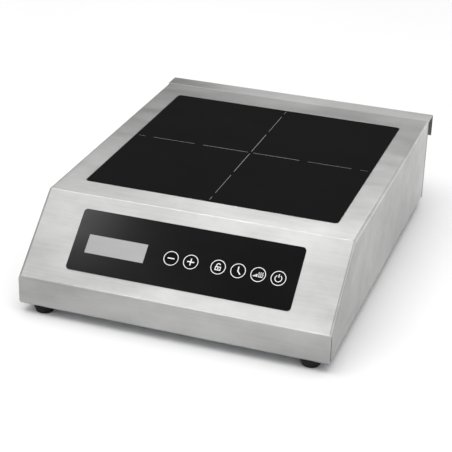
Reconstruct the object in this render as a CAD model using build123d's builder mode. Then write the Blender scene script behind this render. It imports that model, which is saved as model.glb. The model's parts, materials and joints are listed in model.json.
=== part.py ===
"""Countertop induction hob: folded steel housing, glass ceramic plate, sloping key panel,
spring-carried coil, power electronics and two cooling fans.

Frame: millimetres, +X right, +Y to the back, +Z up. The origin is on the surface that the feet
stand on, under the middle of the hob.
"""

import math
import os

from build123d import *

os.makedirs("parts", exist_ok=True)

# ---------------------------------------------------------------- driving dimensions
width = 336.0
body_depth = 425.0  # front lip to the back of the rear wall
hood_depth = 24.0  # how far the rear hood reaches behind the rear wall
hood_drop = 27.0
foot_height = 9.5
body_height = 100.0
lip_height = 32.8
slope_run = 77.4
sheet = 1.2  # housing steel
base_sheet = 1.0
bend = 3.0  # outer radius of the folds
glass_side = 280.0
glass_thickness = 4.0
glass_proud = 0.3
glass_corner = 4.0
glass_gap = 0.8
glass_to_front = 109.3

overlay_size = (242.0, 69.4)
overlay_up = 51.6  # middle of the overlay, measured up the slope from the lip fold
overlay_shift = 0.5
overlay_thickness = 0.6
window_size = (65.0, 20.8)
window_at = (-73.3, 48.3)
key_up = 48.8
key_across = {
    "minus": -12.9,
    "plus": 8.4,
    "lock": 37.8,
    "timer": 59.0,
    "level": 80.2,
    "power": 101.4,
}
key_diameter = 16.7
key_gap = 0.15
key_travel = 0.4

fan_side = 92.0
fan_height = 25.4
fan_at = ((-75.0, -100.0), (75.0, -100.0))
coil_turns = 17
coil_wire = 3.8
coil_pitch = 4.2
coil_inner = 28.0  # centreline radius of the first turn
column_ring = 100.0
column_angles = (90, 210, 330)

# ---------------------------------------------------------------- levels and places
front = -(body_depth + hood_depth) / 2
wall_back = front + body_depth
wall_front = wall_back - sheet
rear = wall_back + hood_depth
shell_bottom = foot_height + base_sheet
top = shell_bottom + body_height
top_under = top - sheet
lip_top = shell_bottom + lip_height
crest = front + slope_run
half = width / 2
flange = 14.0  # return flanges along the sides
front_flange = 26.0
slope_angle = math.degrees(math.atan2(body_height - lip_height, slope_run))
slope_plane = Plane(
    origin=(0, front, lip_top),
    x_dir=(1, 0, 0),
    z_dir=(0, -math.sin(math.radians(slope_angle)), math.cos(math.radians(slope_angle))),
)
glass_middle = front + glass_to_front + glass_side / 2
glass_top = top + glass_proud
glass_bottom = glass_top - glass_thickness
ledge_top = glass_bottom - 0.8
mica_thickness = 0.8
coil_level = glass_bottom - mica_thickness - 0.3 - coil_wire / 2
former_top = coil_level - coil_wire / 2 - 0.2
former_thickness = 2.8
former_bottom = former_top - former_thickness
ferrite_height = 6.0
plate_top = former_bottom - ferrite_height
plate_thickness = 1.5
plate_bottom = plate_top - plate_thickness
spring_length = 14.0
column_shoulder = plate_bottom - spring_length
standoff_height = 10.0
board_bottom = shell_bottom + standoff_height
board_thickness = 1.6
board_top = board_bottom + board_thickness

screw_shank = 1.6  # radius
screw_pilot = 1.7
screw_hole = 1.9
screw_head = (3.2, 2.2)  # radius and height

foot_places = [(x, y) for x in (-145.5, 145.5) for y in (front + 14.0, 165.0)]
side_screws = [(x, y) for x in (-161.0, 161.0) for y in (-180.0, -60.0, 60.0, 180.0)]
front_screws = [(x, front + 18.0) for x in (-95.0, 0.0, 95.0)]
back_screws = [(x, 191.0) for x in (-100.0, 0.0, 100.0)]
rear_screws = [(x, z) for x in (-161.0, 161.0) for z in (25.0, 50.0, 75.0)]
gland_x, gland_z = 112.0, 42.0


def save(builder, name):
    """Labels a finished piece and writes its STEP file."""
    builder.part.label = name
    export_step(builder.part, f"parts/{name}.step")


def polar(radius, degrees, centre=(0.0, 0.0)):
    """A point on a circle round centre."""
    turn = math.radians(degrees)
    return centre[0] + radius * math.cos(turn), centre[1] + radius * math.sin(turn)


def block(low, high):
    """Adds a box to the open builder, from its lowest to its highest corner."""
    size = [b - a for a, b in zip(low, high)]
    middle = tuple((a + b) / 2 for a, b in zip(low, high))
    with Locations(middle):
        Box(*size)


def rounded_block(low, high, radius):
    """Adds a box with rounded upright edges to the open builder."""
    with BuildSketch(Plane.XY.offset(low[2])) as plan:
        with Locations(((low[0] + high[0]) / 2, (low[1] + high[1]) / 2)):
            RectangleRounded(high[0] - low[0], high[1] - low[1], radius)
    extrude(plan.sketch, amount=high[2] - low[2])


# ---------------------------------------------------------------- housing
def housing_block(inset, radius):
    """The closed outside of the housing, or its inside when inset is the sheet thickness.
    Every fold is rounded. The lip's upright ends and the top's back edge are cut edges, so they
    stay sharp."""
    with BuildPart() as solid:
        with BuildSketch(Plane.YZ) as profile:
            with BuildLine():
                Polyline(
                    (front, shell_bottom),
                    (wall_front, shell_bottom),
                    (wall_front, top),
                    (crest, top),
                    (front, lip_top),
                    close=True,
                )
            make_face()
            if inset:
                offset(amount=-inset, kind=Kind.INTERSECTION)
        extrude(amount=half - inset, both=True)
        lip_ends = solid.edges().filter_by(Axis.Z).group_by(Axis.Y)[0]
        back_edge = solid.edges().filter_by(Axis.X).group_by(Axis.Y)[-1].sort_by(Axis.Z)[-1]
        cut_edges = [*lip_ends, back_edge]
        fillet([e for e in solid.edges() if e not in cut_edges], radius)
    return solid.part


with BuildPart() as top_cover:
    seam = 2.0
    corner = 3.5
    add(housing_block(0, bend))
    add(housing_block(sheet, bend - sheet), mode=Mode.SUBTRACT)
    # Openings at the bottom and the back, which leave the return flanges.
    with BuildSketch(Plane.XY.offset(shell_bottom - 1)):
        with Locations((0, (front + front_flange + wall_front + 1) / 2)):
            Rectangle(2 * (half - flange), wall_front + 1 - front - front_flange)
    extrude(amount=sheet + 2, mode=Mode.SUBTRACT)
    with BuildSketch(Plane.XZ.offset(-wall_front - 1)):
        with Locations((0, (shell_bottom - 1 + top_under) / 2)):
            Rectangle(2 * (half - flange), top_under - shell_bottom + 1)
    extrude(amount=sheet + 2, mode=Mode.SUBTRACT)
    # The lip is folded down in front of the side walls, so an open seam stays between them, and
    # the lip's lower corners are rounded.
    with BuildSketch(Plane.XY.offset(shell_bottom - 1)):
        for side in (-1, 1):
            with Locations((side * (half - flange / 2 + 1), front + sheet + seam / 2)):
                Rectangle(flange + 2, seam)
    extrude(amount=lip_height - 1, mode=Mode.SUBTRACT)
    with BuildSketch(Plane.XZ.offset(1 - front)):
        for side in (-1, 1):
            with Locations((side * (half - corner / 2), shell_bottom + corner / 2)):
                Rectangle(corner, corner)
            with Locations((side * (half - corner), shell_bottom + corner)):
                Circle(corner, mode=Mode.SUBTRACT)
    extrude(amount=-1 - sheet - seam, mode=Mode.SUBTRACT)
    # Cut-out for the glass, cut-out for the display, and one round hole for each key.
    with BuildSketch(Plane.XY.offset(top + 1)):
        with Locations((0, glass_middle)):
            opening = glass_side + 2 * glass_gap
            RectangleRounded(opening, opening, glass_corner + glass_gap)
    extrude(amount=-sheet - 2, mode=Mode.SUBTRACT)
    with BuildSketch(slope_plane.offset(1)):
        with Locations(window_at):
            Rectangle(window_size[0] - 2, window_size[1] - 1)
        for across in key_across.values():
            with Locations((across, key_up)):
                Circle(key_diameter / 2 + 0.4)
    extrude(amount=-sheet - 2, mode=Mode.SUBTRACT)
    # Pilot holes in the flanges, and room in the front flange for the nuts of the feet.
    with BuildSketch(Plane.XY.offset(shell_bottom - 1)):
        with Locations(*side_screws, *front_screws):
            Circle(screw_pilot)
        with Locations(*foot_places):
            Circle(6)
    extrude(amount=sheet + 2, mode=Mode.SUBTRACT)
    with BuildSketch(Plane.XZ.offset(-wall_front - 1)):
        with Locations(*rear_screws):
            Circle(screw_pilot)
    extrude(amount=sheet + 2, mode=Mode.SUBTRACT)
save(top_cover, "top_cover")

with BuildPart() as rear_panel:
    hood_bend = 2.4
    slot_width = 4.0
    # Wall, then the hood: back over the air outlet and down behind it.
    with BuildSketch(Plane.YZ):
        with BuildLine():
            FilletPolyline(
                (wall_front, shell_bottom),
                (wall_front, top),
                (rear, top),
                (rear, top - hood_drop),
                radius=hood_bend,
            )
            offset(amount=sheet, side=Side.RIGHT)
        make_face()
    extrude(amount=half, both=True)
    # Return flange at the bottom, which the base is screwed to.
    with BuildSketch(Plane.YZ):
        with BuildLine():
            FilletPolyline(
                (wall_front - flange, shell_bottom + sheet),
                (wall_front, shell_bottom + sheet),
                (wall_front, shell_bottom + 2 * flange),
                radius=bend - sheet,
            )
            offset(amount=sheet, side=Side.RIGHT)
        make_face()
    extrude(amount=half - flange - 1, both=True)
    # Air outlet slots in three rows; the top row lies inside the hood.
    with BuildSketch(Plane.XZ.offset(-wall_back - 1)):
        for level, height, columns, first in ((95, 14, 33, -144), (66, 26, 33, -144), (30, 26, 25, -144)):
            for k in range(columns):
                with Locations((first + 9.0 * k, level)):
                    SlotOverall(height, slot_width, rotation=90)
        with Locations((gland_x, gland_z)):
            Circle(10.2)
        with Locations(*rear_screws):
            Circle(screw_hole)
    extrude(amount=sheet + 2, mode=Mode.SUBTRACT)
    with BuildSketch(Plane.XY.offset(shell_bottom - 1)):
        with Locations(*back_screws):
            Circle(screw_pilot)
    extrude(amount=sheet + 2, mode=Mode.SUBTRACT)
save(rear_panel, "rear_panel")

pillar_inset = 6.0
power_board_low, power_board_high = (-156.0, -8.0), (-16.0, 182.0)
filter_board_low, filter_board_high = (20.0, -8.0), (150.0, 108.0)


def board_corners(low, high):
    """The four fixing points of a circuit board."""
    return [
        (x, y)
        for x in (low[0] + pillar_inset, high[0] - pillar_inset)
        for y in (low[1] + pillar_inset, high[1] - pillar_inset)
    ]


standoff_places = board_corners(power_board_low, power_board_high) + board_corners(
    filter_board_low, filter_board_high
)

with BuildPart() as base_plate:
    low, high = (-half + 1.5, front + 3.5), (half - 1.5, wall_front - 0.5)
    with BuildSketch(Plane.XY.offset(foot_height)) as outline:
        with Locations(((low[0] + high[0]) / 2, (low[1] + high[1]) / 2)):
            RectangleRounded(high[0] - low[0], high[1] - low[1], bend)
        with Locations(*side_screws, *front_screws, *back_screws):
            Circle(screw_hole, mode=Mode.SUBTRACT)
        with Locations(*foot_places):
            Circle(2.2, mode=Mode.SUBTRACT)
        # Rings of slots under each fan let the cooling air in.
        for centre in fan_at:
            for radius, count in ((12, 3), (20, 4), (28, 6), (36, 6), (42.5, 8)):
                for k in range(count):
                    gap_angle = math.degrees(9.0 / radius)
                    span = 360 / count - gap_angle
                    arc = CenterArc(centre, radius, k * 360 / count, span, mode=Mode.PRIVATE)
                    SlotArc(arc, 3.6, mode=Mode.SUBTRACT)
    extrude(amount=base_sheet)
save(base_plate, "base_plate")

# ---------------------------------------------------------------- glass and its support
with BuildPart() as glass_plate:
    with BuildSketch(Plane.XY.offset(glass_bottom)):
        with Locations((0, glass_middle)):
            RectangleRounded(glass_side, glass_side, glass_corner)
    extrude(amount=glass_thickness)
    chamfer(glass_plate.faces().sort_by(Axis.Z)[-1].edges(), 0.3)
save(glass_plate, "glass_plate")


def square_ring(outer, inner, outer_corner, inner_corner):
    """A square ring round the middle of the glass, in the open sketch."""
    with Locations((0, glass_middle)):
        RectangleRounded(outer, outer, outer_corner)
        RectangleRounded(inner, inner, inner_corner, mode=Mode.SUBTRACT)


ledge_width = 10.0
frame_web = glass_side + 2 * glass_gap
with BuildPart() as glass_seal:
    with BuildSketch(Plane.XY.offset(ledge_top)):
        square_ring(frame_web, glass_side - 2 * ledge_width, glass_corner + glass_gap, 3)
    extrude(amount=glass_bottom - ledge_top)
    with BuildSketch(Plane.XY.offset(glass_bottom)):
        square_ring(frame_web, glass_side, glass_corner + glass_gap, glass_corner)
    extrude(amount=top - glass_bottom - 0.1)
save(glass_seal, "glass_seal")

with BuildPart() as glass_support_frame:
    web = frame_web + 2 * sheet
    with BuildSketch(Plane.XY.offset(ledge_top - sheet)):
        square_ring(web, glass_side - 2 * ledge_width, glass_corner + 2, 3)
    extrude(amount=sheet)
    with BuildSketch(Plane.XY.offset(ledge_top)):
        square_ring(web, frame_web, glass_corner + 2, glass_corner + glass_gap)
    extrude(amount=top_under - ledge_top)
    with BuildSketch(Plane.XY.offset(top_under - sheet)):
        square_ring(frame_web + 28, frame_web, 6, glass_corner + glass_gap)
    extrude(amount=sheet)
save(glass_support_frame, "glass_support_frame")

with BuildPart() as mica_sheet:
    with BuildSketch(Plane.XY.offset(glass_bottom - mica_thickness)):
        with Locations((0, glass_middle)):
            RectangleRounded(240, 240, 6)
            Circle(9, mode=Mode.SUBTRACT)
    extrude(amount=mica_thickness)
save(mica_sheet, "mica_sheet")

# ---------------------------------------------------------------- control panel
with BuildPart() as control_overlay:
    with BuildSketch(slope_plane):
        with Locations((overlay_shift, overlay_up)):
            RectangleRounded(*overlay_size, 4)
        with Locations(window_at):
            Rectangle(*window_size, mode=Mode.SUBTRACT)
        for across in key_across.values():
            with Locations((across, key_up)):
                Circle(key_diameter / 2 + key_gap, mode=Mode.SUBTRACT)
    extrude(amount=overlay_thickness)
save(control_overlay, "control_overlay")

with BuildPart() as display_window:
    with BuildSketch(slope_plane):
        with Locations(window_at):
            Rectangle(*window_size)
    extrude(amount=overlay_thickness)
save(display_window, "display_window")

control_board_depth = 9.0  # top face of the board, below the outside of the slope
control_board_size = (228.0, 58.0)
panel_studs_at = [(x, y) for x in (-109.0, 109.0) for y in (28.0, 74.0)]
switch_height = 3.4
tip_radius = 1.6

# Each key is the film disc, the pusher under it and the tip that works the switch.
for name, across in key_across.items():
    with BuildPart() as key:
        with BuildSketch(slope_plane):
            with Locations((across, key_up)):
                Circle(key_diameter / 2)
        extrude(amount=overlay_thickness)
        with BuildSketch(slope_plane):
            with Locations((across, key_up)):
                Circle(key_diameter / 2 - 0.6)
        extrude(amount=-sheet - 1.6)
        with BuildSketch(slope_plane.offset(-sheet - 1.6)):
            with Locations((across, key_up)):
                Circle(tip_radius)
        extrude(amount=-(control_board_depth - sheet - 1.6 - key_travel - 0.6))
    save(key, f"key_{name}")

with BuildPart() as key_switches:
    for across in key_across.values():
        with BuildSketch(slope_plane.offset(-control_board_depth)):
            with Locations((across, key_up)):
                RectangleRounded(6, 6, 0.5)
        extrude(amount=switch_height)
        with BuildSketch(slope_plane.offset(-control_board_depth + 0.5)):
            with Locations((across, key_up)):
                Circle(tip_radius + 0.1)
        extrude(amount=switch_height, mode=Mode.SUBTRACT)
save(key_switches, "key_switches")

with BuildPart() as display_module:
    with BuildSketch(slope_plane.offset(-control_board_depth)):
        with Locations(window_at):
            Rectangle(78, 30)
    extrude(amount=control_board_depth - sheet - 1.4)
    with BuildSketch(slope_plane.offset(-sheet - 1.4)):
        with Locations(window_at):
            Rectangle(window_size[0] - 3, window_size[1] - 2)
    extrude(amount=sheet + 1.2)
save(display_module, "display_module")

with BuildPart() as control_board:
    with BuildSketch(slope_plane.offset(-control_board_depth)):
        with Locations((0, overlay_up)):
            RectangleRounded(*control_board_size, 2)
        with Locations(*panel_studs_at):
            Circle(2.2, mode=Mode.SUBTRACT)
    extrude(amount=-board_thickness)
save(control_board, "control_board")

nut_height = 3.2
stud_length = control_board_depth + board_thickness + nut_height + 1 - sheet
with BuildPart() as panel_studs:
    with BuildSketch(slope_plane.offset(-sheet)):
        with Locations(*panel_studs_at):
            Circle(2)
    extrude(amount=-stud_length)
    with BuildSketch(slope_plane.offset(-sheet)):
        with Locations(*panel_studs_at):
            Circle(3.5)
    extrude(amount=-(control_board_depth - sheet))
save(panel_studs, "panel_studs")

with BuildPart() as m4_nuts:
    # Four on the studs of the control board and four on the screws of the feet.
    for plane, places in (
        (slope_plane.offset(-control_board_depth - board_thickness - nut_height), panel_studs_at),
        (Plane.XY.offset(shell_bottom), foot_places),
    ):
        with BuildSketch(plane):
            with Locations(*places):
                RegularPolygon(3.5, 6, major_radius=False)
                Circle(2.02, mode=Mode.SUBTRACT)
        extrude(amount=nut_height)
save(m4_nuts, "m4_nuts")

with BuildPart() as buzzer:
    with BuildSketch(slope_plane.offset(-control_board_depth - board_thickness)):
        with Locations((70, overlay_up)):
            Circle(6)
            Circle(1, mode=Mode.SUBTRACT)
    extrude(amount=-8)
save(buzzer, "buzzer")

# ---------------------------------------------------------------- induction coil
coil_centre = (0.0, glass_middle)
coil_plane = Plane(origin=(0, glass_middle, coil_level))
column_places = [polar(column_ring, angle, coil_centre) for angle in column_angles]
outer_lead_hole = (coil_inner + coil_turns * coil_pitch, 11.0)
inner_lead_hole = (coil_inner, -7.0)

with BuildPart() as induction_coil:
    # A flat spiral of half turns: the centre steps aside by half a pitch and the radius grows.
    with BuildLine(coil_plane) as spiral:
        for k in range(2 * coil_turns):
            radius = coil_inner + k * coil_pitch / 2
            centre = (0, 0) if k % 2 == 0 else (coil_pitch / 2, 0)
            CenterArc(centre, radius, 180 * (k % 2), 180)
    with BuildSketch(Plane(origin=spiral.line @ 0, z_dir=spiral.line % 0)):
        Circle(coil_wire / 2)
    sweep()
save(induction_coil, "induction_coil")

former_leg_ring = 95.0
former_leg_angles = (45, 135, 225, 315)
with BuildPart() as coil_former:
    with BuildSketch(Plane.XY.offset(former_bottom)):
        with Locations(coil_centre):
            Circle(106)
            with PolarLocations(14, 6):
                Circle(4, mode=Mode.SUBTRACT)
            Circle(4, mode=Mode.SUBTRACT)
            with Locations(outer_lead_hole, inner_lead_hole):
                Circle(5, mode=Mode.SUBTRACT)
    extrude(amount=former_thickness)
    with BuildSketch(Plane.XY.offset(former_top)):
        with Locations(coil_centre):
            Circle(106)
            Circle(103, mode=Mode.SUBTRACT)
    extrude(amount=coil_wire)
    # Legs that stand on the shield plate between the ferrite bars.
    with BuildSketch(Plane.XY.offset(plate_top)):
        for angle in former_leg_angles:
            with Locations(polar(former_leg_ring, angle, coil_centre)):
                Circle(5)
                Circle(1.5, mode=Mode.SUBTRACT)
    extrude(amount=ferrite_height)
save(coil_former, "coil_former")

with BuildPart() as ferrite_bars:
    with BuildSketch(Plane.XY.offset(plate_top)):
        with Locations(coil_centre):
            with PolarLocations(62, 8, start_angle=22.5):
                Rectangle(58, 14)
    extrude(amount=ferrite_height)
save(ferrite_bars, "ferrite_bars")

with BuildPart() as coil_shield_plate:
    with BuildSketch(Plane.XY.offset(plate_bottom)):
        with Locations(coil_centre):
            Circle(108)
            Circle(30, mode=Mode.SUBTRACT)
            with Locations(outer_lead_hole, inner_lead_hole):
                Circle(3.5, mode=Mode.SUBTRACT)
        with Locations(*column_places):
            Circle(3.5, mode=Mode.SUBTRACT)
        for angle in former_leg_angles:
            with Locations(polar(former_leg_ring, angle, coil_centre)):
                Circle(screw_hole, mode=Mode.SUBTRACT)
    extrude(amount=plate_thickness)
save(coil_shield_plate, "coil_shield_plate")

with BuildPart() as coil_columns:
    with BuildSketch(Plane.XY.offset(shell_bottom)):
        with Locations(*column_places):
            Circle(9)
    extrude(amount=4)
    with BuildSketch(Plane.XY.offset(shell_bottom)):
        with Locations(*column_places):
            Circle(6)
    extrude(amount=column_shoulder - shell_bottom)
    with BuildSketch(Plane.XY.offset(shell_bottom)):
        with Locations(*column_places):
            Circle(3)
    extrude(amount=plate_top + 3 - shell_bottom)
save(coil_columns, "coil_columns")

spring_wire = 1.2
with BuildPart() as coil_springs:
    for place in column_places:
        with BuildLine(Plane(origin=(*place, column_shoulder + spring_wire / 2))) as helix:
            Helix(pitch=3.1, height=spring_length - spring_wire, radius=4.4)
        with BuildSketch(Plane(origin=helix.line @ 0, z_dir=helix.line % 0)):
            Circle(spring_wire / 2)
        sweep()
save(coil_springs, "coil_springs")

with BuildPart() as glass_sensor:
    # Silicone cap with the temperature sensor, pressed against the glass.
    with BuildSketch(Plane.XY.offset(former_bottom - 6)):
        with Locations(coil_centre):
            Circle(3.9)
    extrude(amount=10)
    with BuildSketch(Plane.XY.offset(former_top)):
        with Locations(coil_centre):
            Circle(7.5)
    extrude(amount=glass_bottom - former_top)
    fillet(glass_sensor.edges().filter_by(GeomType.CIRCLE).sort_by(Axis.Z)[-1], 0.8)
save(glass_sensor, "glass_sensor")

# ---------------------------------------------------------------- circuit boards
with BuildPart() as power_board:
    with BuildSketch(Plane.XY.offset(board_bottom)):
        low, high = power_board_low, power_board_high
        with Locations(((low[0] + high[0]) / 2, (low[1] + high[1]) / 2)):
            RectangleRounded(high[0] - low[0], high[1] - low[1], 3)
        with Locations(*board_corners(low, high)):
            Circle(1.7, mode=Mode.SUBTRACT)
    extrude(amount=board_thickness)
save(power_board, "power_board")

with BuildPart() as filter_board:
    with BuildSketch(Plane.XY.offset(board_bottom)):
        low, high = filter_board_low, filter_board_high
        with Locations(((low[0] + high[0]) / 2, (low[1] + high[1]) / 2)):
            RectangleRounded(high[0] - low[0], high[1] - low[1], 3)
        with Locations(*board_corners(low, high)):
            Circle(1.7, mode=Mode.SUBTRACT)
    extrude(amount=board_thickness)
save(filter_board, "filter_board")

with BuildPart() as board_standoffs:
    with BuildSketch(Plane.XY.offset(shell_bottom)):
        with Locations(*standoff_places):
            RegularPolygon(3, 6, major_radius=False)
            Circle(1.5, mode=Mode.SUBTRACT)
    extrude(amount=standoff_height)
save(board_standoffs, "board_standoffs")

with BuildPart() as m3_screws:
    # Eight hold the circuit boards down, and four hold the coil former on its shield plate.
    upward = [polar(former_leg_ring, angle, coil_centre) for angle in former_leg_angles]
    for level, places, way in ((board_top, standoff_places, 1), (plate_bottom, upward, -1)):
        with BuildSketch(Plane.XY.offset(level)):
            with Locations(*places):
                Circle(2.8)
        extrude(amount=2 * way)
        with BuildSketch(Plane.XY.offset(level)):
            with Locations(*places):
                Circle(1.45)
        extrude(amount=-6.5 * way)
save(m3_screws, "m3_screws")

sink_low, sink_high = (-150.0, 12.0), (-82.0, 132.0)
device_height = 5.0
sink_base = board_top + device_height
with BuildPart() as heatsink:
    fins = 11
    fin = 1.8
    block((*sink_low, sink_base), (*sink_high, sink_base + 6))
    step = (sink_high[0] - sink_low[0] - fin) / (fins - 1)
    for k in range(fins):
        x = sink_low[0] + k * step
        block((x, sink_low[1], sink_base + 6), (x + fin, sink_high[1], sink_base + 36))
save(heatsink, "heatsink")

with BuildPart() as power_transistors:
    for y in (34.0, 62.0):
        block((-124, y, board_top), (-108, y + 20, board_top + device_height))
save(power_transistors, "power_transistors")

with BuildPart() as bridge_rectifier:
    rounded_block((-131, 92, board_top), (-101, 122, board_top + device_height), 3)
save(bridge_rectifier, "bridge_rectifier")

with BuildPart() as resonant_capacitors:
    for y in (30.0, 56.0):
        rounded_block((-70, y, board_top), (-28, y + 20, board_top + 32), 1.5)
save(resonant_capacitors, "resonant_capacitors")


def toroid(centre, radius, tube, level):
    """A wound ring choke lying on a board."""
    with BuildSketch(Plane(origin=(*centre, level), x_dir=(1, 0, 0), z_dir=(0, -1, 0))) as section:
        with Locations((radius, tube)):
            RectangleRounded(2 * tube, 2 * tube, tube / 2)
    revolve(section.sketch, axis=Axis((*centre, level), (0, 0, 1)))


with BuildPart() as ring_chokes:
    toroid((-46.0, 146.0), 14, 8, board_top)
    toroid((58.0, 30.0), 14, 8, board_top)
save(ring_chokes, "ring_chokes")

with BuildPart() as film_capacitors:
    for x, y in ((-66, 94), (36, 58), (36, 80)):
        rounded_block((x, y, board_top), (x + 32, y + 16, board_top + 26), 1.5)
save(film_capacitors, "film_capacitors")

with BuildPart() as supply_transformer:
    block((98, 8, board_top), (130, 36, board_top + 22))
    block((104, 4, board_top + 4), (124, 40, board_top + 18))
save(supply_transformer, "supply_transformer")

with BuildPart() as heatsink_shroud:
    # Open-ended cover that keeps the air stream between the fins.
    wall = 1.5
    inside = (sink_low[0] - 2, sink_high[0] + 2, sink_base + 39)
    block(
        (inside[0] - wall, sink_low[1] - 8, board_top),
        (inside[1] + wall, sink_high[1] + 8, inside[2] + wall),
    )
    with Locations(((inside[0] + inside[1]) / 2, 72, (board_top + inside[2]) / 2)):
        Box(inside[1] - inside[0], 400, inside[2] - board_top, mode=Mode.SUBTRACT)
save(heatsink_shroud, "heatsink_shroud")

# ---------------------------------------------------------------- mains inlet
terminal_low, terminal_high = (96.0, 134.0), (132.0, 154.0)
with BuildPart() as terminal_block:
    block((*terminal_low, shell_bottom), (*terminal_high, shell_bottom + 20))
    with BuildSketch(Plane.XY.offset(shell_bottom + 20)):
        with Locations(((terminal_low[0] + terminal_high[0]) / 2, 144.0)):
            with GridLocations(12, 10, 3, 2):
                Circle(2.6)
    extrude(amount=-6, mode=Mode.SUBTRACT)
save(terminal_block, "terminal_block")

cable_radius = 5.0
gland_plane = Plane(origin=(gland_x, wall_back, gland_z), x_dir=(1, 0, 0), z_dir=(0, 1, 0))
with BuildPart() as gland_body:
    with BuildSketch(gland_plane):
        RegularPolygon(13, 6, major_radius=False)
    extrude(amount=5)
    with BuildSketch(gland_plane.offset(-12.0)):
        Circle(10)
    extrude(amount=12)
    with BuildSketch(gland_plane.offset(5)):
        Circle(9.5)
    extrude(amount=9)
    with BuildSketch(gland_plane.offset(-12.0)):
        Circle(cable_radius)
    extrude(amount=40, mode=Mode.SUBTRACT)
    with BuildSketch(gland_plane.offset(5)):
        Circle(7.5)
    extrude(amount=20, mode=Mode.SUBTRACT)
save(gland_body, "gland_body")

with BuildPart() as gland_seal:
    with BuildSketch(gland_plane.offset(5)):
        Circle(7.4)
        Circle(cable_radius, mode=Mode.SUBTRACT)
    extrude(amount=12)
save(gland_seal, "gland_seal")

with BuildPart() as gland_nut:
    with BuildSketch(gland_plane.offset(6)):
        RegularPolygon(13, 6, major_radius=False)
    extrude(amount=10)
    with BuildSketch(gland_plane.offset(16)):
        Circle(12.4)
    extrude(amount=4, taper=20)
    with BuildSketch(gland_plane.offset(6)):
        Circle(9.6)
    extrude(amount=11.2, mode=Mode.SUBTRACT)
    with BuildSketch(gland_plane.offset(6)):
        Circle(cable_radius + 1)
    extrude(amount=20, mode=Mode.SUBTRACT)
save(gland_nut, "gland_nut")

with BuildPart() as gland_lock_nut:
    with BuildSketch(gland_plane.offset(-sheet)):
        RegularPolygon(12.5, 6, major_radius=False)
        Circle(10.05, mode=Mode.SUBTRACT)
    extrude(amount=-5)
save(gland_lock_nut, "gland_lock_nut")

earth_place = (144.0, 130.0)
with BuildPart() as earth_stud:
    with BuildSketch(Plane.XY.offset(shell_bottom)):
        with Locations(earth_place):
            Circle(2)
    extrude(amount=16)
    with BuildSketch(Plane.XY.offset(shell_bottom)):
        with Locations(earth_place):
            RegularPolygon(3.5, 6, major_radius=False)
    extrude(amount=3.2)
save(earth_stud, "earth_stud")

# ---------------------------------------------------------------- cooling fans
fan_names = ("left", "right")
fan_bore = 44.0
hub_radius = 19.0
blade_count = 7
shaft_radius = 1.5
fan_low = shell_bottom
fan_high = fan_low + fan_height
hub_low, hub_high = fan_low + 2.5, fan_low + 19.0

for name, centre in zip(fan_names, fan_at):
    # Square frame with the round duct, and the motor carrier on four struts at the outlet.
    with BuildPart() as fan_frame:
        with BuildSketch(Plane.XY.offset(fan_low)):
            with Locations(centre):
                RectangleRounded(fan_side, fan_side, 5)
                Circle(fan_bore, mode=Mode.SUBTRACT)
                with GridLocations(82.5, 82.5, 2, 2):
                    Circle(2.2, mode=Mode.SUBTRACT)
        extrude(amount=fan_height)
        with BuildSketch(Plane.XY.offset(fan_high - 3)):
            with Locations(centre):
                Circle(18)
                with PolarLocations(30.5, 4, start_angle=20):
                    Rectangle(29, 3.5)
        extrude(amount=3)
        with BuildSketch(Plane.XY.offset(fan_low + 6)):
            with Locations(centre):
                Circle(4)
        extrude(amount=fan_height - 6 - 3)
        with BuildSketch(Plane.XY.offset(fan_low + 6)):
            with Locations(centre):
                Circle(shaft_radius + 0.05)
        extrude(amount=fan_height - 8, mode=Mode.SUBTRACT)
    save(fan_frame, f"fan_frame_{name}")

    with BuildPart() as fan_rotor:
        with BuildSketch(Plane.XY.offset(hub_low)):
            with Locations(centre):
                Circle(hub_radius)
        extrude(amount=hub_high - hub_low)
        with BuildSketch(Plane.XY.offset(hub_low + 1.5)):
            with Locations(centre):
                Circle(hub_radius - 1.5)
        extrude(amount=hub_high - hub_low, mode=Mode.SUBTRACT)
        with BuildSketch(Plane.XY.offset(hub_low)):
            with Locations(centre):
                Circle(shaft_radius)
        extrude(amount=17)
        # Twisted blades, steeper at the hub than at the tip.
        for k in range(blade_count):
            turn = 360 * k / blade_count
            radial = Vector(*polar(1, turn), 0)
            across_blade = Vector(*polar(1, turn + 90), 0)
            for radius, chord, thick, pitch in ((hub_radius - 1, 19, 1.8, 48), (42.4, 23, 1.2, 32)):
                lift = math.radians(pitch)
                along = across_blade * math.cos(lift) + Vector(0, 0, math.sin(lift))
                middle = Vector(*centre, (hub_low + hub_high) / 2) + radial * radius
                with BuildSketch(Plane(origin=middle, x_dir=along, z_dir=radial)):
                    Rectangle(chord, thick)
            loft()
        # The loft starts inside the hub's wall, so the hub's inside is cleared again.
        with BuildSketch(Plane.XY.offset(hub_low + 1.5)):
            with Locations(centre):
                Circle(hub_radius - 1.5)
                Circle(shaft_radius, mode=Mode.SUBTRACT)
        extrude(amount=hub_high - hub_low + 4, mode=Mode.SUBTRACT)
    save(fan_rotor, f"fan_rotor_{name}")

with BuildPart() as fan_stators:
    for centre in fan_at:
        with BuildSketch(Plane.XY.offset(fan_low + 8)):
            with Locations(centre):
                Circle(8)
                with PolarLocations(10.5, 4):
                    Rectangle(9, 7)
                Circle(4.05, mode=Mode.SUBTRACT)
        extrude(amount=11)
save(fan_stators, "fan_stators")

with BuildPart() as fan_screws:
    for centre in fan_at:
        with BuildSketch(Plane.XY.offset(fan_high)):
            with Locations(centre):
                with GridLocations(82.5, 82.5, 2, 2):
                    Circle(3.6)
        extrude(amount=2)
        with BuildSketch(Plane.XY.offset(fan_high)):
            with Locations(centre):
                with GridLocations(82.5, 82.5, 2, 2):
                    Circle(2)
        extrude(amount=-fan_height)
save(fan_screws, "fan_screws")

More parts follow.
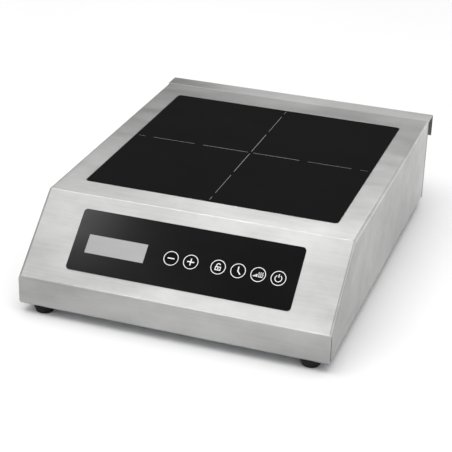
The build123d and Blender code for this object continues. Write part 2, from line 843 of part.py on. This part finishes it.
# ---------------------------------------------------------------- wiring
def tube(points, radii, radius):
    """Adds a wire of round section along straight runs joined by tangent arcs."""
    with BuildLine() as path:
        FilletPolyline(*points, radius=radii)
    with BuildSketch(Plane(origin=path.line @ 0, z_dir=path.line % 0)) as section:
        Circle(radius)
    sweep(section.sketch, path=path.line)


with BuildPart() as coil_leads:
    # From the ends of the spiral down through the former, and across to the power board.
    lead_x = -21.0
    for hole, level in ((outer_lead_hole, 60.0), (inner_lead_hole, 70.0)):
        y = glass_middle + hole[1]
        tube(
            [
                (hole[0], glass_middle, coil_level),
                (hole[0], y, coil_level),
                (hole[0], y, level),
                (lead_x, y, level),
                (lead_x, y, board_top),
            ],
            [5, 14, 14],
            coil_wire / 2,
        )
save(coil_leads, "coil_leads")

with BuildPart() as control_ribbon:
    with BuildSketch(Plane.YZ):
        with BuildLine():
            FilletPolyline(
                (-171.0, 73.0), (-150.0, 52.0), (-60.0, 44.0), (-4.0, 40.0), (-4.0, board_top), radius=6
            )
            offset(amount=1.0, side=Side.LEFT)
        make_face()
    extrude(amount=8, both=True)
save(control_ribbon, "control_ribbon")

# ---------------------------------------------------------------- feet and fasteners
foot_names = ("front_left", "rear_left", "front_right", "rear_right")
foot_top_radius, foot_bottom_radius = 12.0, 9.0
for name, place in zip(foot_names, foot_places):
    with BuildPart() as foot:
        with BuildSketch(Plane(origin=(*place, 0), x_dir=(1, 0, 0), z_dir=(0, -1, 0))) as half_section:
            with BuildLine():
                Polyline(
                    (2.2, foot_height),
                    (foot_top_radius, foot_height),
                    (foot_top_radius, foot_height - 2),
                    (foot_bottom_radius, 0),
                    (5, 0),
                    (5, 4.5),
                    (2.2, 4.5),
                    close=True,
                )
            make_face()
        revolve(axis=Axis((*place, 0), (0, 0, 1)))
        fillet(foot.edges().filter_by(GeomType.CIRCLE).group_by(Axis.Z)[0].sort_by(SortBy.RADIUS)[-1], 1.5)
    save(foot, f"foot_{name}")

with BuildPart() as foot_screws:
    for place in foot_places:
        with BuildSketch(Plane.XY.offset(4.5)):
            with Locations(place):
                Circle(3.6)
        extrude(amount=-2.4)
        with BuildSketch(Plane.XY.offset(4.5)):
            with Locations(place):
                Circle(2)
        extrude(amount=11)
save(foot_screws, "foot_screws")

with BuildPart() as housing_screws:
    # Into the flanges from below, and into the side flanges from behind.
    for plane, places in (
        (Plane.XY.offset(foot_height), [*side_screws, *front_screws, *back_screws]),
        (Plane.XZ.offset(-wall_back), rear_screws),
    ):
        for place in places:
            with BuildSketch(plane):
                with Locations(place):
                    Circle(screw_head[0])
            extrude(amount=-screw_head[1])
            with BuildSketch(plane):
                with Locations(place):
                    Circle(screw_shank)
            extrude(amount=6)
save(housing_screws, "housing_screws")
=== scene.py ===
import json
import math

import bmesh
import bpy
from mathutils import Matrix, Vector


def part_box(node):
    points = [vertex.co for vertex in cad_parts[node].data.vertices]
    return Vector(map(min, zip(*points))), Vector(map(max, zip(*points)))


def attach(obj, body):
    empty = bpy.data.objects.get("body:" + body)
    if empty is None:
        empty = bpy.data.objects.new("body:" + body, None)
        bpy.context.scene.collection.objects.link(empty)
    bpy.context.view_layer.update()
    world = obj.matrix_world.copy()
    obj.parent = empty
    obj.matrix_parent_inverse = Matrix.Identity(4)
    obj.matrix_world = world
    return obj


# An induction hob. The CAD nodes keep their shapes; this script gives them their materials, prints the
# marks on the keys and the glass, and sets up the camera, floor, lights and sky.
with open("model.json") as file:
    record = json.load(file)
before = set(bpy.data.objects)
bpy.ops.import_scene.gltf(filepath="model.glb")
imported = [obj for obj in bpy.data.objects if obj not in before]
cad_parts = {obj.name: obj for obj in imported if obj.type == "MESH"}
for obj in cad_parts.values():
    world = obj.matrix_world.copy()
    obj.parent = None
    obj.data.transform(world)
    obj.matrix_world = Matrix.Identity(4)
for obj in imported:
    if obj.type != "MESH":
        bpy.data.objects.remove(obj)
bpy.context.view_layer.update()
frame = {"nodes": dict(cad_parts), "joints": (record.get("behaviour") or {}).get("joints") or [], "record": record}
nodes = frame["nodes"]
MM = 0.001

# ------------------------------------------------------------------ camera
# Solved from the photo's corners and edges, in metres and degrees; the lens is in millimetres.
TARGET = Vector((0.00461, -0.06833, 0.06141))
AZIMUTH, ELEVATION, ROLL = (math.radians(v) for v in (18.619, 26.013, 1.637))
DISTANCE = 1.52956
LENS, SENSOR_WIDTH = 111.88, 36.0
NEAREST, FARTHEST = 0.05, 60.0


def make_camera():
    back = Vector((
        math.sin(AZIMUTH) * math.cos(ELEVATION),
        -math.cos(AZIMUTH) * math.cos(ELEVATION),
        math.sin(ELEVATION),
    ))
    right = (-back).cross(Vector((0, 0, 1))).normalized()
    up = right.cross(-back)
    across = math.cos(ROLL) * right + math.sin(ROLL) * up
    over = -math.sin(ROLL) * right + math.cos(ROLL) * up
    turn = Matrix((across, over, back)).transposed().to_4x4()
    data = bpy.data.cameras.new("camera")
    data.lens, data.sensor_width = LENS, SENSOR_WIDTH
    data.clip_start, data.clip_end = NEAREST, FARTHEST
    camera = bpy.data.objects.new("camera", data)
    camera.matrix_world = Matrix.Translation(TARGET + back * DISTANCE) @ turn
    bpy.context.scene.collection.objects.link(camera)
    bpy.context.scene.camera = camera


make_camera()


# ------------------------------------------------------------------ materials
class Nodes:
    """Short hand for building one material's node tree."""

    def __init__(self, name):
        self.material = bpy.data.materials.new(name)
        self.material.use_nodes = True
        self.tree = self.material.node_tree
        self.shader = self.tree.nodes["Principled BSDF"]
        self.place = self.tree.nodes.new("ShaderNodeTexCoord").outputs["Object"]

    def add(self, kind, **settings):
        node = self.tree.nodes.new(kind)
        for key, value in settings.items():
            setattr(node, key, value)
        return node

    def link(self, a, b):
        self.tree.links.new(a, b)

    def stretched(self, scale):
        node = self.add("ShaderNodeMapping")
        node.inputs["Scale"].default_value = scale
        self.link(self.place, node.inputs["Vector"])
        return node.outputs["Vector"]

    def noise(self, scale, detail, rough=0.55):
        """Noise in features per metre, the same along each axis or with a number for each."""
        node = self.add("ShaderNodeTexNoise")
        node.inputs["Scale"].default_value = 1.0
        node.inputs["Detail"].default_value = detail
        node.inputs["Roughness"].default_value = rough
        if not isinstance(scale, tuple):
            scale = (scale,) * 3
        self.link(self.stretched(scale), node.inputs["Vector"])
        return node.outputs["Fac"]

    def mix(self, a, b, factor):
        """a where the factor is 0 and b where it is 1; each is a number or a socket."""
        node = self.add("ShaderNodeMix", data_type="FLOAT")
        for number, value in ((0, factor), (2, a), (3, b)):
            if isinstance(value, (int, float)):
                node.inputs[number].default_value = value
            else:
                self.link(value, node.inputs[number])
        return node.outputs[0]

    def ramp(self, value, *stops):
        """A colour ramp; each stop is a place and a grey level or a colour."""
        node = self.add("ShaderNodeValToRGB")
        while len(node.color_ramp.elements) < len(stops):
            node.color_ramp.elements.new(0.5)
        for element, (place, colour) in zip(node.color_ramp.elements, stops):
            element.position = place
            colour = (colour,) * 3 if isinstance(colour, (int, float)) else colour
            element.color = (*colour, 1.0)
        self.link(value, node.inputs["Fac"])
        return node.outputs["Color"]

    def spread(self, value, low, high):
        """Stretches the middle half of a noise's range over low to high."""
        node = self.add("ShaderNodeMapRange")
        node.inputs["To Min"].default_value = low
        node.inputs["To Max"].default_value = high
        node.inputs["From Min"].default_value = 0.25
        node.inputs["From Max"].default_value = 0.75
        self.link(value, node.inputs["Value"])
        return node.outputs["Result"]

    def bump(self, value, strength, distance, under=None):
        """Relief of that depth in metres, on top of another bump if one is given."""
        node = self.add("ShaderNodeBump")
        node.inputs["Strength"].default_value = strength
        node.inputs["Distance"].default_value = distance
        self.link(value, node.inputs["Height"])
        if under is not None:
            self.link(under, node.inputs["Normal"])
        return node.outputs["Normal"]

    def finish(self, colour, roughness, normal=None, **fixed):
        """Joins everything to the shader; fixed gives the numbers set on its other sockets."""
        for name, value in (("Base Color", colour), ("Roughness", roughness), ("Normal", normal)):
            if isinstance(value, (int, float)):
                self.shader.inputs[name].default_value = value
            elif value is not None:
                self.link(value, self.shader.inputs[name])
        for key, value in fixed.items():
            self.shader.inputs[key.replace("_", " ")].default_value = value
        return self.material


SIDE_WALL = 0.7  # a face whose normal has more of X than this is on a side wall


def brushed_stainless():
    """Brushed sheet: the grain runs across the front, and from front to back on the side walls."""
    n = Nodes("brushed_stainless")
    normal = n.add("ShaderNodeNewGeometry").outputs["Normal"]
    split = n.add("ShaderNodeSeparateXYZ")
    n.link(normal, split.inputs["Vector"])
    sideways = n.add("ShaderNodeMath", operation="ABSOLUTE")
    n.link(split.outputs["X"], sideways.inputs[0])
    side = n.add("ShaderNodeMath", operation="GREATER_THAN")
    n.link(sideways.outputs[0], side.inputs[0])
    side.inputs[1].default_value = SIDE_WALL
    side = side.outputs[0]

    def grain(along, across, detail):
        """Noise drawn out along the grain, in features per metre along it and across it."""
        front = n.noise((along, across, across), detail)
        wall = n.noise((across, along, across), detail)
        return n.mix(front, wall, side)

    streak = n.mix(grain(14.0, 2600.0, 2.0), grain(5.0, 420.0, 3.0), 0.45)
    cloud = n.noise((9.0, 16.0, 16.0), 4.0, 0.6)
    soft = n.noise((11.0, 34.0, 34.0), 2.0)
    worn, clean = (0.32, 0.32, 0.317), (0.44, 0.44, 0.436)
    tone = n.ramp(n.mix(streak, cloud, 0.7), (0.37, worn), (0.63, clean))
    # Below about 0.27, the render's denoiser leaves smudges on this metal, so it is kept rougher.
    rough = n.mix(n.mix(0.25, 0.46, streak), n.mix(0.21, 0.51, soft), 0.65)
    # The highlight spreads across the grain, so the tangent is square to it.
    way = n.add("ShaderNodeCombineXYZ")
    not_side = n.add("ShaderNodeMath", operation="SUBTRACT")
    not_side.inputs[0].default_value = 1.0
    n.link(side, not_side.inputs[1])
    n.link(not_side.outputs[0], way.inputs["X"])
    n.link(side, way.inputs["Y"])
    tangent = n.add("ShaderNodeVectorMath", operation="CROSS_PRODUCT")
    n.link(normal, tangent.inputs[0])
    n.link(way.outputs[0], tangent.inputs[1])
    n.link(tangent.outputs[0], n.shader.inputs["Tangent"])
    wave = n.bump(n.noise(9.0, 2.0), 0.10, 0.001)
    lines = n.bump(streak, 0.18, 0.00005, wave)
    return n.finish(tone, rough, lines, Metallic=1.0, Anisotropic=0.8)


def sheet_metal(name, light, dark, rough, scale):
    """Plain metal with cloudy tone and fine scratches."""
    n = Nodes(name)
    cloud = n.noise(scale, 5.0)
    lines = n.noise((scale * 20, scale, scale * 6), 3.0)
    tone = n.ramp(cloud, (0.35, dark), (0.65, light))
    return n.finish(tone, n.spread(lines, *rough), n.bump(lines, 0.12, 0.0001), Metallic=1.0)


def moulded(name, light, dark, rough=(0.4, 0.55), grain=2500.0, bump=0.15, **fixed):
    """Moulded plastic or rubber: a little tone and a fine grained skin."""
    n = Nodes(name)
    tone = n.ramp(n.noise(90.0, 4.0), (0.35, dark), (0.65, light))
    roughness = n.spread(n.noise(240.0, 3.0), *rough)
    return n.finish(tone, roughness, n.bump(n.noise(grain, 2.0), bump, 0.0001), **fixed)


def glass_ceramic():
    """Smooth black glass with faint wipe marks and dust."""
    n = Nodes("glass_ceramic")
    wipe = n.noise((9.0, 16.0, 9.0), 5.0, 0.6)
    dust = n.noise(1400.0, 2.0)
    tone = n.ramp(n.mix(wipe, dust, 0.35), (0.35, 0.001), (0.7, 0.0025))
    rough = n.mix(n.spread(wipe, 0.05, 0.12), n.spread(dust, 0.05, 0.10), 0.3)
    swell = n.bump(n.noise(24.0, 1.0), 0.04, 0.0004)
    return n.finish(tone, rough, swell, IOR=1.12)


def printed_film(name):
    """Polyester film, printed black on its underside, with a fine matt texture."""
    n = Nodes(name)
    wipe = n.noise((10.0, 30.0, 30.0), 4.0)
    skin = n.noise(5200.0, 1.0)
    tone = n.ramp(wipe, (0.35, 0.002), (0.7, 0.0045))
    return n.finish(tone, n.spread(wipe, 0.29, 0.37), n.bump(skin, 0.10, 0.00003), IOR=1.12)


def window_film():
    """The film over the unlit display, which looks pale grey."""
    n = Nodes("smoked_window")
    haze = n.noise((14.0, 60.0, 60.0), 4.0)
    dark, light = (0.345, 0.35, 0.345), (0.39, 0.395, 0.39)
    tone = n.ramp(haze, (0.35, dark), (0.7, light))
    skin = n.noise(5200.0, 1.0)
    return n.finish(tone, n.spread(haze, 0.32, 0.42), n.bump(skin, 0.10, 0.00003))


def circuit_board():
    """Solder mask over tracks: narrow lines in both directions, cut into short runs."""
    n = Nodes("circuit_board")
    lengthwise = n.noise((900.0, 60.0, 60.0), 1.0)
    crosswise = n.noise((60.0, 900.0, 60.0), 1.0)
    tracks = n.ramp(n.mix(lengthwise, crosswise, n.noise(35.0, 1.0)), (0.47, 0.0), (0.52, 1.0))
    board, track = (0.008, 0.075, 0.03), (0.02, 0.16, 0.06)
    tone = n.ramp(tracks, (0.0, board), (1.0, track))
    return n.finish(tone, 0.32, n.bump(tracks, 0.3, 0.0001))


def wound(name, light, dark, turns):
    """Many parallel strands, laid in turns."""
    n = Nodes(name)
    wave = n.add("ShaderNodeTexWave", wave_type="RINGS", rings_direction="Z")
    wave.inputs["Scale"].default_value = turns
    wave.inputs["Distortion"].default_value = 1.5
    n.link(n.place, wave.inputs["Vector"])
    strand = n.mix(wave.outputs["Fac"], n.noise(1800.0, 2.0), 0.5)
    tone = n.ramp(strand, (0.3, dark), (0.7, light))
    return n.finish(tone, 0.34, n.bump(strand, 0.5, 0.0003), Metallic=0.85)


MATERIALS = {
    "brushed_stainless": brushed_stainless(),
    "galvanised_steel": sheet_metal(
        "galvanised_steel", (0.56, 0.58, 0.59), (0.40, 0.42, 0.44), (0.34, 0.52), 45.0),
    "glass_ceramic": glass_ceramic(),
    "black_silicone": moulded("black_silicone", 0.012, 0.007, (0.5, 0.65)),
    "mica": moulded("mica", (0.46, 0.38, 0.26), (0.30, 0.24, 0.16), (0.45, 0.7), 300.0, 0.4),
    "black_film": printed_film("black_film"),
    "key_film": printed_film("key_film"),
    "smoked_window": window_film(),
    "circuit_board": circuit_board(),
    "black_plastic": moulded("black_plastic", 0.020, 0.012),
    "white_plastic": moulded("white_plastic", (0.62, 0.62, 0.60), (0.52, 0.52, 0.50)),
    "natural_plastic": moulded("natural_plastic", (0.60, 0.57, 0.50), (0.50, 0.47, 0.41)),
    "zinc_steel": sheet_metal(
        "zinc_steel", (0.62, 0.63, 0.66), (0.46, 0.47, 0.50), (0.22, 0.36), 160.0),
    "spring_steel": sheet_metal(
        "spring_steel", (0.42, 0.42, 0.44), (0.30, 0.30, 0.32), (0.22, 0.34), 160.0),
    "aluminium_sheet": sheet_metal(
        "aluminium_sheet", (0.72, 0.73, 0.74), (0.58, 0.59, 0.60), (0.3, 0.45), 50.0),
    "copper_litz": wound("copper_litz", (0.62, 0.27, 0.12), (0.30, 0.11, 0.04), 300.0),
    "copper_winding": wound("copper_winding", (0.55, 0.22, 0.08), (0.25, 0.08, 0.03), 700.0),
    "ferrite": moulded("ferrite", 0.035, 0.018, (0.35, 0.55), 700.0, 0.3),
    "capacitor_blue": moulded(
        "capacitor_blue", (0.02, 0.05, 0.22), (0.012, 0.035, 0.16), (0.25, 0.35)),
    "yellow_tape": moulded("yellow_tape", (0.72, 0.50, 0.04), (0.58, 0.38, 0.02), (0.25, 0.4)),
    "grey_ribbon": moulded("grey_ribbon", (0.30, 0.30, 0.31), (0.22, 0.22, 0.23), (0.4, 0.5)),
    "foot_rubber": moulded(
        "foot_rubber", 0.006, 0.003, (0.6, 0.8), 1600.0, 0.35, Specular_IOR_Level=0.25),
}
for part in frame["record"]["subparts"]:
    slots = nodes[part["node"]].data.materials
    slots.clear()
    slots.append(MATERIALS[part["material_slot"]])


def print_ink(name, level):
    """Screen-printed ink: slightly uneven, with a matt skin."""
    n = Nodes(name)
    tone = n.ramp(n.noise(900.0, 3.0), (0.3, level * 0.86), (0.7, level))
    skin = n.noise(6000.0, 1.0)
    return n.finish(tone, n.spread(n.noise(300.0, 2.0), 0.42, 0.55), n.bump(skin, 0.1, 0.00003))


# ------------------------------------------------------------------ printed marks
KEY_INK = print_ink("key_ink", 0.92)
GLASS_INK = print_ink("glass_ink", 0.30)
INK_THICKNESS = 0.00004  # metres
INK_GAP = 0.000005  # between the ink and the face below it, so that the two never coincide


def circle(centre, radius, steps):
    turns = [2 * math.pi * k / steps for k in range(steps)]
    return [(centre[0] + radius * math.cos(t), centre[1] + radius * math.sin(t)) for t in turns]


class Print:
    """Flat closed outlines, each turned into a thin plate of ink on one plane.

    Outlines are in millimetres from the origin, along the two axes."""

    def __init__(self, name, origin, x_axis, y_axis, material, slot, body="housing"):
        self.name, self.origin, self.body = name, origin, body
        self.x, self.y = x_axis, y_axis
        self.normal = x_axis.cross(y_axis)
        self.mesh = bmesh.new()
        self.material, self.slot = material, slot

    def points(self, outline, lift=0.0):
        """The outline's points in the mesh, lifted off the plane by so many metres."""
        base = self.origin + self.normal * lift
        return [self.mesh.verts.new(base + (self.x * x + self.y * y) * MM) for x, y in outline]

    def loops(self, outer, inner):
        """A closed band between two outlines with the same number of points."""
        low = [self.points(loop) for loop in (outer, inner)]
        high = [self.points(loop, INK_THICKNESS) for loop in (outer, inner)]
        count = len(outer)
        for k in range(count):
            j = (k + 1) % count
            self.mesh.faces.new((high[0][k], high[0][j], high[1][j], high[1][k]))
            self.mesh.faces.new((low[0][j], low[0][k], low[1][k], low[1][j]))
            self.mesh.faces.new((low[0][k], low[0][j], high[0][j], high[0][k]))
            self.mesh.faces.new((low[1][j], low[1][k], high[1][k], high[1][j]))

    def fill(self, outline):
        """A plate inside one outline."""
        low = self.points(outline)
        high = self.points(outline, INK_THICKNESS)
        self.mesh.faces.new(high)
        self.mesh.faces.new(low[::-1])
        for k in range(len(outline)):
            j = (k + 1) % len(outline)
            self.mesh.faces.new((low[k], low[j], high[j], high[k]))

    def ring(self, centre, radius, stroke, steps=72):
        self.loops(
            circle(centre, radius + stroke / 2, steps),
            circle(centre, radius - stroke / 2, steps),
        )

    def disc(self, centre, radius, steps=28):
        self.fill(circle(centre, radius, steps))

    def line(self, points, stroke):
        """A stroke of even width with mitred corners, open at both ends."""
        left, right = [], []
        for k, point in enumerate(points):
            here = Vector(point)
            before = (here - Vector(points[k - 1])).normalized() if k else None
            after = (Vector(points[k + 1]) - here).normalized() if k + 1 < len(points) else None
            way = (before + after).normalized() if before and after else (before or after)
            side = Vector((-way.y, way.x))
            reach = stroke / 2
            if before and after:
                reach /= max(0.5, side.dot(Vector((-after.y, after.x))))
            left.append(tuple(here + side * reach))
            right.append(tuple(here - side * reach))
        self.fill(right + left[::-1])

    def arc(self, centre, radius, start, end, stroke, steps=32):
        points = []
        for k in range(steps + 1):
            turn = math.radians(start + (end - start) * k / steps)
            points.append((centre[0] + radius * math.cos(turn), centre[1] + radius * math.sin(turn)))
        self.line(points, stroke)

    def done(self):
        """Makes the piece, which rides on its body."""
        data = bpy.data.meshes.new(self.name)
        bmesh.ops.recalc_face_normals(self.mesh, faces=self.mesh.faces)
        self.mesh.to_mesh(data)
        self.mesh.free()
        data.materials.append(self.material)
        piece = bpy.data.objects.new(self.name, data)
        bpy.context.scene.collection.objects.link(piece)
        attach(piece, self.body)


# The slope's own directions, read from the keys' common axis.
axis = next(j for j in frame["joints"] if j["name"] == "key_minus_press")["axis"]
slope_out = -Vector(axis).normalized()
slope_up = slope_out.cross(Vector((1, 0, 0))).normalized()
slope_right = Vector((1, 0, 0))
FACE_DEPTH = 1e-5  # points within this of a key's highest one, in metres, are on its face
RING_RADIUS, RING_STROKE = 7.55, 0.75  # millimetres


def key_centre(node):
    """The middle of a key's round face, which is the outermost thing on the key."""
    vertices = [v.co for v in nodes[node].data.vertices]
    top = max(v.dot(slope_out) for v in vertices)
    face = [v for v in vertices if v.dot(slope_out) > top - FACE_DEPTH]
    low = Vector([min(v[i] for v in face) for i in range(3)])
    high = Vector([max(v[i] for v in face) for i in range(3)])
    return (low + high) / 2


def key_print(name):
    """A print on one key, begun with its ring."""
    body = f"key_{name}"
    place = key_centre(body) + slope_out * INK_GAP
    sheet = Print(f"key_mark_{name}", place, slope_right, slope_up, KEY_INK, "key_film", body)
    sheet.ring((0, 0), RING_RADIUS, RING_STROKE)
    return sheet


# Each mark is in millimetres from its key's middle, to the right and up the slope.
mark = key_print("minus")
mark.line([(-3.7, 0), (3.7, 0)], 1.2)
mark.done()

mark = key_print("plus")
mark.line([(-3.8, 0), (3.8, 0)], 1.2)
mark.line([(0, 0.6), (0, 3.8)], 1.2)
mark.line([(0, -0.6), (0, -3.8)], 1.2)
mark.done()

mark = key_print("lock")
mark.loops(
    [(-3.1, -3.6), (3.1, -3.6), (3.1, 0.7), (-3.1, 0.7)],
    [(-2.2, -2.7), (2.2, -2.7), (2.2, -0.2), (-2.2, -0.2)],
)
mark.arc((0, 1.9), 1.9, 180, 20, 0.9)
mark.line([(-1.9, 0.7), (-1.9, 1.9)], 0.9)
mark.disc((0, -1.2), 0.75)
mark.line([(0, -1.2), (0, -2.5)], 0.6)
mark.done()

mark = key_print("timer")
mark.line([(-0.2, 4.6), (-0.2, -0.4), (3.0, -3.6)], 1.15)
mark.done()

mark = key_print("level")
for k, height in enumerate((1.0, 2.0, 3.0)):
    x = -5.1 + 1.6 * k
    mark.fill([(x, -2.6), (x + 1.25, -2.6), (x + 1.25, -2.6 + height), (x, -2.6 + height)])
mark.line([(0.2, -2.2), (5.0, -2.2)], 0.9)
for k in range(3):
    x = 0.7 + 2.0 * k
    mark.line([(x, -1.2), (x + 0.5, 0.0), (x - 0.35, 1.4), (x + 0.15, 2.8)], 0.65)
mark.done()

mark = key_print("power")
mark.arc((0, -0.3), 3.5, 122, 418, 0.85)
mark.line([(0, 0.7), (0, 4.4)], 1.0)
mark.done()

# Cross lines on the glass: four arms of dashes, each with its start, end and stroke in millimetres from
# the middle, thinner towards the edges.
DASHES = ((3.2, 57.5, 0.6), (67.5, 118.0, 0.45), (128.0, 136.5, 0.36))
glass_low, glass_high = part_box("glass_plate")
glass_top = Vector((
    (glass_low.x + glass_high.x) / 2,
    (glass_low.y + glass_high.y) / 2,
    glass_high.z + INK_GAP,
))
cross = Print("pan_cross", glass_top, Vector((1, 0, 0)), Vector((0, 1, 0)), GLASS_INK, "glass_ceramic")
for way in ((1, 0), (-1, 0), (0, 1), (0, -1)):
    for start, end, stroke in DASHES:
        cross.line([(way[0] * start, way[1] * start), (way[0] * end, way[1] * end)], stroke)
cross.done()

# ------------------------------------------------------------------ floor and light
FLOOR_REACH = 14.0
OBJECT_MIDDLE = (0, 0, 0.1)


def make_floor():
    n = Nodes("floor")
    tone = n.ramp(n.noise(3.0, 2.0), (0.3, 0.90), (0.7, 0.92))
    corners = [(x * FLOOR_REACH, y * FLOOR_REACH, 0) for x, y in ((-1, -1), (1, -1), (1, 1), (-1, 1))]
    mesh = bpy.data.meshes.new("floor")
    mesh.from_pydata(corners, [], [(0, 1, 2, 3)])
    mesh.materials.append(n.finish(tone, 0.85, Specular_IOR_Level=0.2))
    floor = bpy.data.objects.new("floor", mesh)
    bpy.context.scene.collection.objects.link(floor)


make_floor()


def area_light(name, place, aim, size, radiance, diffuse=True, spread=180, only=None):
    """A soft panel of even brightness, with its place, aim and size in metres.

    Without diffuse, it shows in reflections only. With only, it lights that one node."""
    data = bpy.data.lights.new(name, "AREA")
    data.shape, data.size, data.size_y = "RECTANGLE", size[0], size[1]
    data.energy = radiance * math.pi * size[0] * size[1]
    data.spread = math.radians(spread)
    light = bpy.data.objects.new(name, data)
    light.location = place
    light.rotation_euler = (Vector(aim) - Vector(place)).to_track_quat("-Z", "Y").to_euler()
    light.visible_camera, light.visible_diffuse = False, diffuse
    if only:
        receivers = bpy.data.collections.new(f"{name}_receivers")
        receivers.objects.link(nodes[only])
        light.light_linking.receiver_collection = receivers
    bpy.context.scene.collection.objects.link(light)
    return light


area_light("overhead", (-0.2, -0.65, 2.2), OBJECT_MIDDLE, (2.2, 1.2), 1.12)
fill = area_light("fill", (-0.05, -0.4, 2.3), OBJECT_MIDDLE, (2.2, 1.6), 1.05)
fill.visible_glossy = False
# Above and behind the hob, with a narrow beam, so that it brightens mostly the front of the top.
area_light(
    "back_panel", (-0.37, 0.6, 0.9), (0.02, -0.36, 0.11), (0.95, 0.16), 0.5,
    diffuse=False, spread=40, only="top_cover")
# Seen only in the steel: the panels light its faces and edges, and the strips its folds.
for name, place, aim, size, radiance, node in (
    ("right_panel", (1.0, 1.7, 0.45), (0, 0, 0.05), (0.8, 0.7), 1.6, "top_cover"),
    ("hood_panel", (-0.05, 1.3, 0.75), (0, 0.21, 0.11), (0.9, 0.5), 1.3, "rear_panel"),
    ("right_edge", (1.9, 0.1, 1.1), OBJECT_MIDDLE, (1.4, 1.0), 2.2, "top_cover"),
    ("top_edge", (0.62, 1.7, 1.1), (0.16, 0, 0.1), (0.7, 0.8), 1.6, "top_cover"),
    ("left_edge", (-1.8, 0.9, 0.45), OBJECT_MIDDLE, (1.0, 0.7), 1.8, "top_cover"),
    ("front_strip", (-0.4, -2.4, 1.3), (0, -0.2, 0.1), (1.8, 0.14), 22.0, "top_cover"),
    ("fold_strip", (-0.6, 0.7, 2.2), (0, -0.15, 0.1), (2.0, 0.2), 4.5, "top_cover"),
):
    area_light(name, place, aim, size, radiance, diffuse=False, only=node)
# A small lamp whose soft reflection is the pale patch at the film's upper left.
area_light(
    "film_glow", (-0.29, -0.25, 0.41), (-0.15, -0.145, 0.10), (0.06, 0.06), 200,
    diffuse=False, only="control_overlay")

# Sky: brightest overhead, with a pale horizon that is dark only behind the object, where the top's
# reflections come from.
HORIZON, DARK_HORIZON, SKY_STRENGTH = 0.5, 0.18, 1.2
DARK_SIDE = (-0.35, 0.936, 0)
DARK_EDGE = (0.7, 0.9)  # cosines of the angle from DARK_SIDE between which the horizon darkens
CLIMB = (0.35, 0.85)  # heights between which the sky brightens; straight up is 1
BACKDROP = 0.68
world = bpy.data.worlds.new("studio")
bpy.context.scene.world = world
world.use_nodes = True
sky = world.node_tree


def sky_node(kind, inputs, **settings):
    """A node of the sky; inputs pairs each socket's number with a value or with another socket."""
    node = sky.nodes.new(kind)
    for key, value in settings.items():
        setattr(node, key, value)
    for socket, value in inputs.items():
        if isinstance(value, bpy.types.NodeSocket):
            sky.links.new(value, node.inputs[socket])
        else:
            node.inputs[socket].default_value = value
    return node


def sky_range(value, limits, low, high):
    """Carries value from between its two limits to between low and high."""
    inputs = {0: value, 1: limits[0], 2: limits[1], 3: low, 4: high}
    return sky_node("ShaderNodeMapRange", inputs).outputs[0]


direction = sky_node("ShaderNodeTexCoord", {}).outputs["Generated"]
height = sky_node("ShaderNodeSeparateXYZ", {0: direction}).outputs["Z"]
level = sky_node("ShaderNodeVectorMath", {0: direction, 1: (1, 1, 0)}, operation="MULTIPLY")
level = level.outputs[0]
heading = sky_node("ShaderNodeVectorMath", {0: level}, operation="NORMALIZE").outputs[0]
facing = sky_node("ShaderNodeVectorMath", {0: heading, 1: DARK_SIDE}, operation="DOT_PRODUCT")
facing = facing.outputs["Value"]
climb = sky_range(height, CLIMB, DARK_HORIZON, 1.0)
band = sky_range(facing, DARK_EDGE, HORIZON, DARK_HORIZON)
shade = sky_node("ShaderNodeMath", {0: climb, 1: band}, operation="MAXIMUM").outputs[0]
# Above the floor, the camera itself sees a plain pale backdrop.
seen = sky_node("ShaderNodeLightPath", {}).outputs["Is Camera Ray"]
backdrop = sky_node("ShaderNodeMix", {0: seen, 2: shade, 3: BACKDROP}, data_type="FLOAT").outputs[0]
background = sky.nodes["Background"]
sky.links.new(backdrop, background.inputs["Color"])
background.inputs["Strength"].default_value = SKY_STRENGTH
bpy.context.scene.view_settings.view_transform = "Standard"
